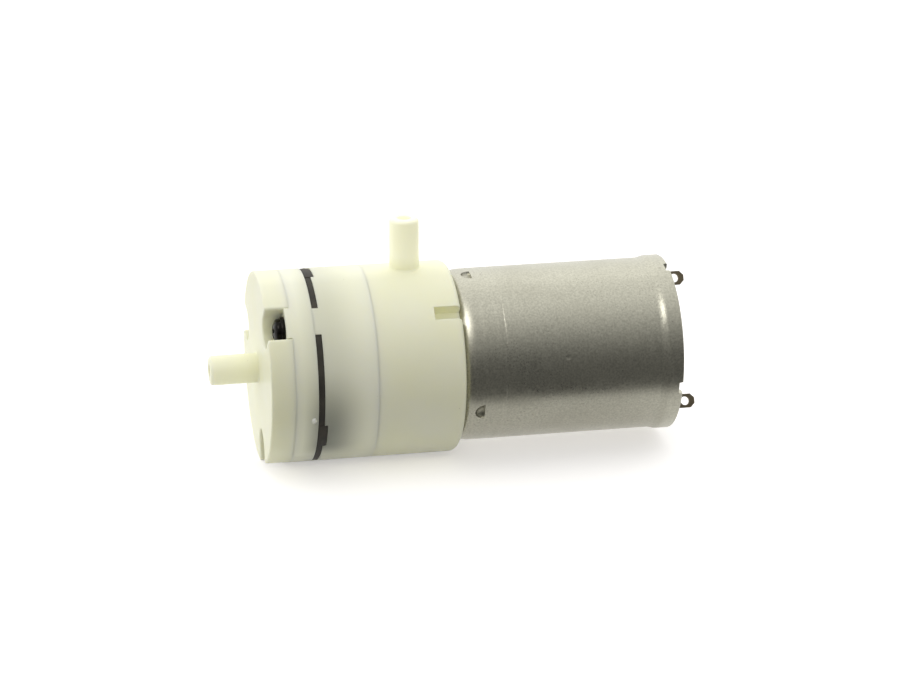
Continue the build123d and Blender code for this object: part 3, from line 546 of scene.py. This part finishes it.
def smoothstep(low_edge, high_edge, value):
    """0 below the low edge and 1 above the high one, with a smooth rise between."""
    t = min(1.0, max(0.0, (value - low_edge) / (high_edge - low_edge)))
    return t * t * (3 - 2 * t)


def turn_between(one, two):
    """The signed turn from one angle to another, from -180 to 180 degrees."""
    return (two - one + 180) % 360 - 180


def thinned(values, gap):
    """The values in order, without any that comes closer than the gap to the one kept before it."""
    kept = []
    for value in sorted(values):
        if not kept or value - kept[-1] > gap:
            kept.append(value)
    return kept


def fixed(radius):
    """The same radius at every station and angle."""
    return lambda x, degrees: radius


# ---------------------------------------------------------------- motor can, drawn, lanced, staked and rolled
CAN_R = 12.2 * MM
CAN_WALL = 0.9 * MM
CAN_INNER_R = CAN_R - CAN_WALL
FLARE = 0.25 * MM
FLARE_LENGTH = 2.9 * MM
SHOULDER = 1.0 * MM
SHOULDER_LENGTH = 1.95 * MM
BOSS_R = 3.0 * MM
BOSS_HEIGHT = 1.5 * MM
BOSS_LIP = 0.4 * MM
BUSHING_R = 2.4 * MM
BOSS_OPENING_R = 1.4 * MM
RIM_ROUND = 0.18 * MM
RIM_CHAMFER = 0.12 * MM
END_PLATE_SEAT = 1.4 * MM
X_CAN_FACE = -15.65 * MM
X_FLARE = X_CAN_REAR - FLARE_LENGTH
X_LANCE = X_CAN_FACE + 1.6 * MM
LANCE_LENGTH = 1.35 * MM
LANCE_HALF_WIDTH = 1.25 * MM
LANCE_DEPTH = 0.75 * MM
LANCE_ANGLES = (95.0, 203.6, 275.0, 23.6)
NOTCH_ANGLES = (104.0, 194.0, 284.0, 14.0)
NOTCH_HALF_SPAN = 4.45
NOTCH_DEPTH = 0.55 * MM
STAKE_ANGLES = (106.0, 286.0)
STAKE_HALF_LENGTH = 0.40 * MM
STAKE_HALF_WIDTH = 0.42 * MM
STAKE_DEPTH = 0.10 * MM
X_STAKE = X_CAN_REAR - 1.45 * MM
SCREW_ANGLES = (15.0, 135.0, 255.0)

# Marks of the drawing dies: small steps up behind the shoulder and at the flare, and between them
# a low swell and a narrow groove.
DRAW_STEP = 0.018 * MM
DRAW_STEP_START = X_CAN_FACE + 2.8 * MM
DRAW_STEP_END = X_CAN_FACE + 3.2 * MM
SWELL_HEIGHT = 0.020 * MM
SWELL_SPREAD = 0.35 * MM
X_SWELL = X_CAN_FACE + 5.3 * MM
GROOVE_DEPTH = 0.035 * MM
GROOVE_SPREAD = 0.14 * MM
X_GROOVE = X_CAN_FACE + 6.0 * MM

# How finely the can is divided round it, and how close two angles or two stations may come.
CAN_STEPS = 300
ANGLE_GAP = 0.09
STATION_GAP = 0.003 * MM

# Handling dents: station, angle, radius and depth of each.
DINGS = (
    (-0.95 * MM, 167.5, 0.50 * MM, 0.05 * MM),
    (-2.45 * MM, 205.0, 0.85 * MM, 0.06 * MM),
    (4.2 * MM, 128.0, 0.9 * MM, 0.012 * MM),
    (-8.0 * MM, 300.0, 1.1 * MM, 0.03 * MM),
    (6.4 * MM, 340.0, 0.8 * MM, 0.03 * MM),
    (-3.0 * MM, 60.0, 1.3 * MM, 0.02 * MM),
)


def lance_dent(x, degrees):
    """A round-bottomed dent, sheared straight across at its rear, that holds the magnets from sliding."""
    deepest = 0.0
    for place in LANCE_ANGLES:
        across = math.radians(turn_between(place, degrees)) * CAN_R / LANCE_HALF_WIDTH
        along = (x - X_LANCE) / LANCE_LENGTH
        if abs(across) < 1.0 and 0.0 < along <= 1.0:
            bowl = max(0.0, 1.0 - across**2 - (1.0 - along) ** 2)
            deepest = max(deepest, LANCE_DEPTH * bowl**0.55)
    return deepest


def surface_dent(x, degrees):
    """Small marks left on the outside of the can: stakes by the rim notches, dings and handling dents."""
    dent = 0.0
    for place in STAKE_ANGLES:
        across = math.radians(turn_between(place, degrees)) * CAN_R
        away = math.hypot((x - X_STAKE) / STAKE_HALF_LENGTH, across / STAKE_HALF_WIDTH)
        dent += STAKE_DEPTH * (1.0 - smoothstep(0.3, 1.2, away))
    for station, place, size, depth in DINGS:
        across = math.radians(turn_between(place, degrees)) * CAN_R
        away = math.hypot(x - station, across) / size
        dent += depth * (1.0 - smoothstep(0.2, 1.0, away))
    return dent


def outer_radius(x):
    """The can's own outside radius: shoulder, draw marks, flare and rolled rim."""
    radius = CAN_R - DRAW_STEP
    if x < X_CAN_FACE + SHOULDER_LENGTH:
        share = (X_CAN_FACE + SHOULDER_LENGTH - x) / SHOULDER_LENGTH
        radius -= SHOULDER * (1.0 - math.sqrt(max(0.0, 1.0 - share**2)))
    radius += DRAW_STEP * smoothstep(DRAW_STEP_START, DRAW_STEP_END, x)
    radius += SWELL_HEIGHT * math.exp(-(((x - X_SWELL) / SWELL_SPREAD) ** 2))
    radius -= GROOVE_DEPTH * math.exp(-(((x - X_GROOVE) / GROOVE_SPREAD) ** 2))
    radius += FLARE * smoothstep(X_FLARE - 0.25 * MM, X_FLARE + 1.05 * MM, x)
    radius += DRAW_STEP * smoothstep(X_FLARE - 0.3 * MM, X_FLARE, x)
    past_rim = x - (X_CAN_REAR - RIM_ROUND)
    if past_rim > 0.0:
        radius -= RIM_ROUND - math.sqrt(max(0.0, RIM_ROUND**2 - past_rim**2))
    return radius


def outside(x, degrees):
    """The can's outside radius with its lances, stakes and dings."""
    return outer_radius(x) - lance_dent(x, degrees) - surface_dent(x, degrees)


def lanced_inside(x, degrees):
    """The can's inside radius, where the lances stand in."""
    return CAN_INNER_R - lance_dent(x, degrees)


def rim_cut(degrees):
    """How far the rear rim is cut back at an angle: four stake notches."""
    cut = 0.0
    for place in NOTCH_ANGLES:
        away = abs(turn_between(place, degrees))
        cut = max(cut, NOTCH_DEPTH * (1.0 - smoothstep(NOTCH_HALF_SPAN - 0.5, NOTCH_HALF_SPAN, away)))
    return cut


def can_angles():
    """Angles round the can, closer together at the lances, the stakes and the sides of the notches."""
    marks = [360.0 / CAN_STEPS * step for step in range(CAN_STEPS)]
    for place in LANCE_ANGLES:
        marks += [place + 0.22 * step for step in range(-30, 31)]
    for place in STAKE_ANGLES:
        marks += [place + 0.3 * step for step in range(-12, 13)]
    for place in NOTCH_ANGLES:
        for side in (-1, 1):
            marks += [place + side * (NOTCH_HALF_SPAN - 0.6 + 0.1 * step) for step in range(8)]
    for station, place, size, depth in DINGS:
        reach = math.degrees(size / CAN_R)
        marks += [place + reach * step / 8 for step in range(-9, 10)]
    return thinned([mark % 360 for mark in marks], ANGLE_GAP)


def can_stations():
    """Stations along the outside of the can, closer together where the shape changes."""
    shoulder_turns = [math.radians(6 * step) for step in range(16)]
    x_lance_end = X_LANCE + LANCE_LENGTH
    stations = [X_CAN_FACE + SHOULDER_LENGTH * (1.0 - math.cos(turn)) for turn in shoulder_turns]
    stations += [X_LANCE - 0.1 * MM + 0.06 * MM * step for step in range(22)]
    stations += [x_lance_end - 0.004 * MM, x_lance_end, x_lance_end + 0.012 * MM]
    stations += [X_CAN_FACE + (2.8 + 0.08 * step) * MM for step in range(48)]
    stations += [X_CAN_FACE + (6.8 + 0.7 * step) * MM for step in range(30)]
    for station, place, size, depth in DINGS:
        stations += [station + size * step / 6 for step in range(-6, 7)]
    stations += [X_FLARE + (0.08 * step - 0.4) * MM for step in range(20)]
    stations += [X_CAN_REAR - (1.7 - 0.1 * step) * MM for step in range(16)]
    stations += [X_CAN_REAR - RIM_ROUND * (1.0 - step / 6) for step in range(7)]
    return thinned(stations, STATION_GAP)


def build_can():
    """The can as one closed skin: up the boss, along the outside, round the rim and back along the inside."""
    builder = bmesh.new()
    angles = can_angles()
    rim_zone = X_CAN_REAR - 0.9 * MM
    rings = []

    def ring(station, radius_of):
        vertices = []
        for degrees in angles:
            x = station
            if station > rim_zone:
                share = (station - rim_zone) / (X_CAN_REAR - rim_zone)
                x = rim_zone + share * (X_CAN_REAR - rim_cut(degrees) - rim_zone)
            vertices.append(builder.verts.new(ring_point(x, radius_of(station, degrees), degrees)))
        return vertices

    boss = (
        (X_CAN_FACE - BOSS_HEIGHT, BOSS_OPENING_R),
        (X_CAN_FACE - BOSS_HEIGHT, BOSS_R - 0.3 * MM),
        (X_CAN_FACE - BOSS_HEIGHT + 0.1 * MM, BOSS_R - 0.08 * MM),
        (X_CAN_FACE - BOSS_HEIGHT + 0.3 * MM, BOSS_R),
        (X_CAN_FACE - 0.25 * MM, BOSS_R),
        (X_CAN_FACE - 0.07 * MM, BOSS_R + 0.08 * MM),
        (X_CAN_FACE, BOSS_R + 0.3 * MM),
    )
    rings += [ring(station, fixed(radius)) for station, radius in boss]
    rings += [ring(station, outside) for station in can_stations()]
    inner_rear = CAN_INNER_R + FLARE
    rim_inside = (
        (X_CAN_REAR, inner_rear + RIM_CHAMFER),
        (X_CAN_REAR - RIM_CHAMFER, inner_rear),
        (X_CAN_REAR - END_PLATE_SEAT, inner_rear),
        (X_CAN_REAR - END_PLATE_SEAT, CAN_INNER_R),
    )
    rings += [ring(station, fixed(radius)) for station, radius in rim_inside]
    lanced = [x for x in can_stations() if X_LANCE - 0.2 * MM < x < X_CAN_FACE + 3.4 * MM]
    rings += [ring(station, lanced_inside) for station in reversed(lanced)]
    x_bushing = X_CAN_FACE - BOSS_HEIGHT + BOSS_LIP
    bushing_seat = (
        (X_CAN_FACE + CAN_WALL, CAN_INNER_R),
        (X_CAN_FACE + CAN_WALL, BUSHING_R),
        (x_bushing, BUSHING_R),
        (x_bushing, BOSS_OPENING_R),
    )
    rings += [ring(station, fixed(radius)) for station, radius in bushing_seat]
    join_rings(builder, rings, closed=True)
    bmesh.ops.dissolve_degenerate(builder, dist=0.0000001, edges=builder.edges)
    return finish_mesh(builder, "can_shell", MATERIALS["plated_steel"], "housing", 40)


can = build_can()
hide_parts("motor_can")

# ---------------------------------------------------------------- head screws: dome, cross recess, washer
SCREW_CIRCLE = 11.0 * MM
X_SCREW_SEAT = low("valve_plate").x
X_SCREW_TOP = X_SCREW_SEAT - 1.6 * MM
SCREW_LENGTH = 16.0 * MM
SCREW_PITCH = 0.8 * MM
THREAD_START = 3.0 * MM
THREAD_TURNS = 15
THREAD_ROOT_R = 0.82 * MM
THREAD_CREST_R = 0.97 * MM
SCREW_STEPS = 72
RECESS_DEPTH = 0.72 * MM
RECESS_ARM = 0.24 * MM
RECESS_REACH = 0.98 * MM
DOME_R = 1.45 * MM
DOME_HEIGHT = 0.34 * MM
DOME_RINGS = 22

# The head's side and its washer: how far past the top or the seat, and the radius, in millimetres.
HEAD_SIDE = ((0.40, 1.56), (0.50, 1.67), (0.64, 1.735), (0.78, 1.75))
WASHER = (
    (-0.60, 1.74), (-0.56, 1.80), (-0.55, 1.96), (-0.48, 2.04),
    (-0.38, 2.05), (-0.10, 2.05), (0.0, 1.98), (0.0, 1.0),
)


def recess_slot(along, across):
    """One slot of the cross: 1 inside it and 0 outside, with sloping walls."""
    beside = 1 - smoothstep(RECESS_ARM * 0.7, RECESS_ARM * 1.25, abs(across))
    within = 1 - smoothstep(RECESS_REACH * 0.85, RECESS_REACH, abs(along))
    return beside * within


def cross_recess(across, up):
    """Depth of the cross-head recess at a point of the head."""
    return RECESS_DEPTH * max(recess_slot(across, up), recess_slot(up, across))


def screw_profile():
    """Stations and radii behind the dome: head side, washer, thread and point."""
    profile = [(X_SCREW_TOP + past * MM, radius * MM) for past, radius in HEAD_SIDE]
    profile += [(X_SCREW_SEAT + past * MM, radius * MM) for past, radius in WASHER]
    for number in range(THREAD_TURNS):
        start = X_SCREW_SEAT + THREAD_START + number * SCREW_PITCH
        profile.append((start, THREAD_ROOT_R))
        profile.append((start + SCREW_PITCH * 0.45, THREAD_CREST_R))
        profile.append((start + SCREW_PITCH * 0.55, THREAD_CREST_R))
    x_tip = X_SCREW_SEAT + SCREW_LENGTH
    return profile + [(x_tip - 0.4 * MM, 0.80 * MM), (x_tip - 0.05 * MM, 0.45 * MM)]


def build_head_screws():
    """The three screws, each turned differently as they were driven."""
    builder = bmesh.new()
    for number, place in enumerate(SCREW_ANGLES):
        centre = ring_point(0.0, SCREW_CIRCLE, place)
        driven = math.radians(21.0 + 37.0 * number)

        def ring(station, radius, recessed=False):
            vertices = []
            for step in range(SCREW_STEPS):
                turn = math.radians(360 / SCREW_STEPS * step)
                across, up = radius * math.cos(turn), radius * math.sin(turn)
                depth = cross_recess(across, up) if recessed else 0.0
                offset = Vector((
                    station + depth,
                    across * math.cos(driven) - up * math.sin(driven),
                    across * math.sin(driven) + up * math.cos(driven),
                ))
                vertices.append(builder.verts.new(centre + offset))
            return vertices

        shares = [step / DOME_RINGS for step in range(1, DOME_RINGS + 1)]
        rings = [
            ring(X_SCREW_TOP + DOME_HEIGHT * share**2.4, DOME_R * share, recessed=True) for share in shares
        ]
        rings += [ring(station, radius) for station, radius in screw_profile()]
        join_rings(builder, rings)
        first = sum((v.co for v in rings[0]), Vector()) / SCREW_STEPS
        last = sum((v.co for v in rings[-1]), Vector()) / SCREW_STEPS
        cap(builder, rings[0], first)
        cap(builder, rings[-1], last + Vector((0.05 * MM, 0.0, 0.0)))
    return finish_mesh(builder, "domed_head_screws", MATERIALS["black_screw"], "housing", 50)


screws = build_head_screws()
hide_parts("head_screws")

# ---------------------------------------------------------------- diaphragm: flange, tabs and pistons
FLANGE_R = HEAD_R - 0.1 * MM
CUP_CIRCLE = 6.6 * MM
CUP_ANGLES = (75.0, 195.0, 315.0)
TAB_ANGLES = (89.0, 209.0, 329.0)
TAB_HALF_SPAN = 8.75
TAB_DEPTH = 0.45 * MM
SLOT_HALF_WIDTH = 2.03 * MM
SLEEVE_END = X_FLANGE_REAR + 2.0 * MM
FLANGE_EDGE_ROUND = 0.07 * MM
TAB_ROOT_R = 12.6 * MM
TAB_STEPS = 18
TAB_CORNER_INSETS = (0.10 * MM, 0.03 * MM)


def flange_outline():
    """The flange's outer edge: a circle with a round-ended slot in from the edge at each screw."""
    points = []
    half_slot = math.degrees(math.asin(SLOT_HALF_WIDTH / FLANGE_R))
    for place in SCREW_ANGLES:
        start = place + half_slot
        span = 120 - 2 * half_slot
        points += [ring_point(0.0, FLANGE_R, start + span * step / 120) for step in range(121)]
        inward = ring_point(0.0, 1.0, place + 120)
        beside = ring_point(0.0, 1.0, place + 210)
        for step in range(25):
            turn = math.radians(180 * step / 24)
            swing = beside * math.cos(turn) + inward * math.sin(turn)
            points.append(inward * SCREW_CIRCLE - swing * SLOT_HALF_WIDTH)
    return points


def circle_points(centre, radius, count=64):
    """A circle across the shaft round a centre."""
    return [centre + ring_point(0.0, radius, 360 / count * step) for step in range(count)]


def filled(builder, loops):
    """A flat face with holes, from loops of vertices."""
    edges = []
    for loop in loops:
        for here, there in zip(loop, loop[1:] + loop[:1]):
            edges.append(builder.edges.get((here, there)) or builder.edges.new((here, there)))
    bmesh.ops.triangle_fill(builder, edges=edges, use_beauty=True, use_dissolve=False)


def loop_at(builder, points, x):
    """The outline as vertices at one station."""
    return [builder.verts.new(Vector((x, p.y, p.z))) for p in points]


def shrunk(points, amount):
    """The outline moved inwards along its own normals."""
    result = []
    for before, here, after in zip(points[-1:] + points[:-1], points, points[1:] + points[:1]):
        run = after - before
        normal = Vector((0.0, run.z, -run.y)).normalized()
        result.append(here - normal * amount)
    return result


def build_flange():
    """The flange between the head's rings, with a rolled sleeve round each cup's opening."""
    builder = bmesh.new()
    outline = flange_outline()
    edge = FLANGE_EDGE_ROUND
    loops = [
        loop_at(builder, shrunk(outline, edge), X_PLATE_REAR),
        loop_at(builder, outline, X_PLATE_REAR + edge),
        loop_at(builder, outline, X_FLANGE_REAR - edge),
        loop_at(builder, shrunk(outline, edge), X_FLANGE_REAR),
    ]
    join_rings(builder, loops)
    front_holes, rear_holes = [], []
    for place in CUP_ANGLES:
        middle = ring_point(0.0, CUP_CIRCLE, place)
        profile = [
            (X_PLATE_REAR, 4.05), (X_PLATE_REAR + 0.18 * MM, 3.92), (X_FLANGE_REAR, 3.90),
            (SLEEVE_END - 0.3 * MM, 3.90), (SLEEVE_END, 3.98), (SLEEVE_END + 0.06 * MM, 4.10),
            (SLEEVE_END, 4.22), (SLEEVE_END - 0.3 * MM, 4.30), (X_FLANGE_REAR + 0.3 * MM, 4.34),
            (X_FLANGE_REAR + 0.08 * MM, 4.44), (X_FLANGE_REAR, 4.62),
        ]
        rings = [loop_at(builder, circle_points(middle, radius * MM), x) for x, radius in profile]
        join_rings(builder, rings)
        front_holes.append(rings[0])
        rear_holes.append(rings[-1])
    filled(builder, [loops[0]] + front_holes)
    filled(builder, [loops[3]] + rear_holes)
    return finish_mesh(builder, "diaphragm_flange", MATERIALS["black_rubber"], "housing", 40)


flange = build_flange()
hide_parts("diaphragm")


def build_tabs():
    """The three locating tabs that stand back from the flange's edge."""
    builder = bmesh.new()
    outer = HEAD_R - 0.02 * MM
    x_root = X_FLANGE_REAR - 0.3 * MM
    for place in TAB_ANGLES:
        rows = []
        for step in range(TAB_STEPS + 1):
            degrees = place - TAB_HALF_SPAN + 2 * TAB_HALF_SPAN * step / TAB_STEPS
            from_corner = min(step, TAB_STEPS - step)
            inset = TAB_CORNER_INSETS[from_corner] if from_corner < len(TAB_CORNER_INSETS) else 0.0
            rear = X_FLANGE_REAR + TAB_DEPTH - inset
            section = (
                (x_root, TAB_ROOT_R),
                (rear, TAB_ROOT_R),
                (rear, outer - 0.12 * MM),
                (rear - 0.04 * MM, outer - 0.04 * MM),
                (rear - 0.12 * MM, outer),
                (X_PLATE_REAR + 0.10 * MM, outer),
                (X_PLATE_REAR + 0.03 * MM, outer - 0.08 * MM),
                (X_PLATE_REAR + 0.03 * MM, outer - 0.5 * MM),
                (x_root, outer - 0.5 * MM),
            )
            rows.append([builder.verts.new(ring_point(x, radius, degrees)) for x, radius in section])
        join_rings(builder, rows)
        builder.faces.new(rows[0])
        builder.faces.new(rows[-1])
    return finish_mesh(builder, "diaphragm_tabs", MATERIALS["black_rubber"], "housing", 35)


build_tabs()

# The pistons stand square to the tilted yoke: along its pin, outwards, and across the two.
yoke_joint = next(joint for joint in frame["joints"] if joint["name"] == "yoke_wobble")
PIN = Vector(yoke_joint["axis"]).normalized()
WOBBLE = Vector(yoke_joint["pos_m"])
PIN_LEAN = Vector((0.0, PIN.y, PIN.z))
RADIAL = (PIN_LEAN.normalized() * PIN.x - Vector((PIN_LEAN.length, 0.0, 0.0))).normalized()
ACROSS = PIN.cross(RADIAL).normalized()
YOKE_THICKNESS = 1.6 * MM
PISTON_FLOOR = 0.93 * MM
PISTON_STEPS = 56


def yoke_point(along, radial, across):
    """A point given along the pin, outwards and across, from the centre of the wobble."""
    return WOBBLE + PIN * along + RADIAL * radial + ACROSS * across


def piston_ring(builder, along, radius, middle_radial, middle_across):
    """A ring of vertices round a piston's own axis."""
    turns = [math.radians(360 / PISTON_STEPS * step) for step in range(PISTON_STEPS)]
    return [
        builder.verts.new(yoke_point(
            along, middle_radial + radius * math.cos(turn), middle_across + radius * math.sin(turn)
        ))
        for turn in turns
    ]


def build_pistons():
    """The three thick cup floors, each gripped round its yoke arm by a stem with a barb."""
    builder = bmesh.new()
    half_yoke = YOKE_THICKNESS / 2
    floor_front = -half_yoke - PISTON_FLOOR
    profile = [
        (floor_front, 0.6), (floor_front, 2.75), (floor_front - 0.2 * MM, 2.98),
        (floor_front - 2.4 * MM, 3.08), (floor_front - 2.52 * MM, 3.18),
        (floor_front - 2.52 * MM, 3.32), (floor_front - 2.35 * MM, 3.42),
        (floor_front - 0.4 * MM, 3.38), (floor_front + 0.3 * MM, 3.20), (-half_yoke - 0.12 * MM, 2.9),
        (-half_yoke - 0.03 * MM, 2.7), (-half_yoke - 0.03 * MM, 0.95), (half_yoke + 0.03 * MM, 0.9),
        (half_yoke + 0.05 * MM, 1.32), (half_yoke + 0.25 * MM, 1.40), (half_yoke + 0.8 * MM, 1.05),
        (half_yoke + 0.93 * MM, 0.8),
    ]
    for number in range(3):
        turn = math.radians(120 * number)
        middle = (CUP_CIRCLE * math.cos(turn), CUP_CIRCLE * math.sin(turn))
        rings = [piston_ring(builder, along, radius * MM, *middle) for along, radius in profile]
        join_rings(builder, rings)
        cap(builder, rings[0], yoke_point(floor_front + 0.06 * MM, *middle))
        cap(builder, rings[-1], yoke_point(half_yoke + 0.94 * MM, *middle))
    return finish_mesh(builder, "diaphragm_pistons", MATERIALS["black_rubber"], "yoke", 40)


pistons = build_pistons()
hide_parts("diaphragm")

# ---------------------------------------------------------------- gate vestige on the valve plate
GATE_ANGLE = 196.0
GATE_STEPS = 28

# Heights above the plate's side and sizes of the torn stub, in millimetres.
GATE_LAYERS = ((-0.12, 0.56), (0.0, 0.54), (0.08, 0.50), (0.17, 0.40), (0.26, 0.27), (0.32, 0.10))


def build_gate():
    """The torn stub where the moulding gate was broken off."""
    builder = bmesh.new()
    centre = ring_point(X_PLATE_REAR - 0.62 * MM, HEAD_R - 0.06 * MM, GATE_ANGLE)
    out = ring_point(0.0, 1.0, GATE_ANGLE)
    along = Vector((1.0, 0.0, 0.0))
    around = out.cross(along)
    rings = []
    for height, size in GATE_LAYERS:
        layer = []
        for step in range(GATE_STEPS):
            turn = math.radians(360 / GATE_STEPS * step)
            place = Vector((math.cos(turn) * 1.7, math.sin(turn) * 1.7, height * 6 + 4.0))
            reach = size * (1.0 + 0.45 * noise.noise(place)) * MM
            shift = along * (0.72 * reach * math.cos(turn) - 0.12 * height * MM)
            shift += around * (0.95 * reach * math.sin(turn))
            layer.append(builder.verts.new(centre + out * height * MM + shift))
        rings.append(layer)
    join_rings(builder, rings)
    cap(builder, rings[0], centre - out * 0.12 * MM)
    cap(builder, rings[-1], centre + out * 0.31 * MM)
    return finish_mesh(builder, "gate_vestige", MATERIALS["gate"], "housing", 40)


build_gate()
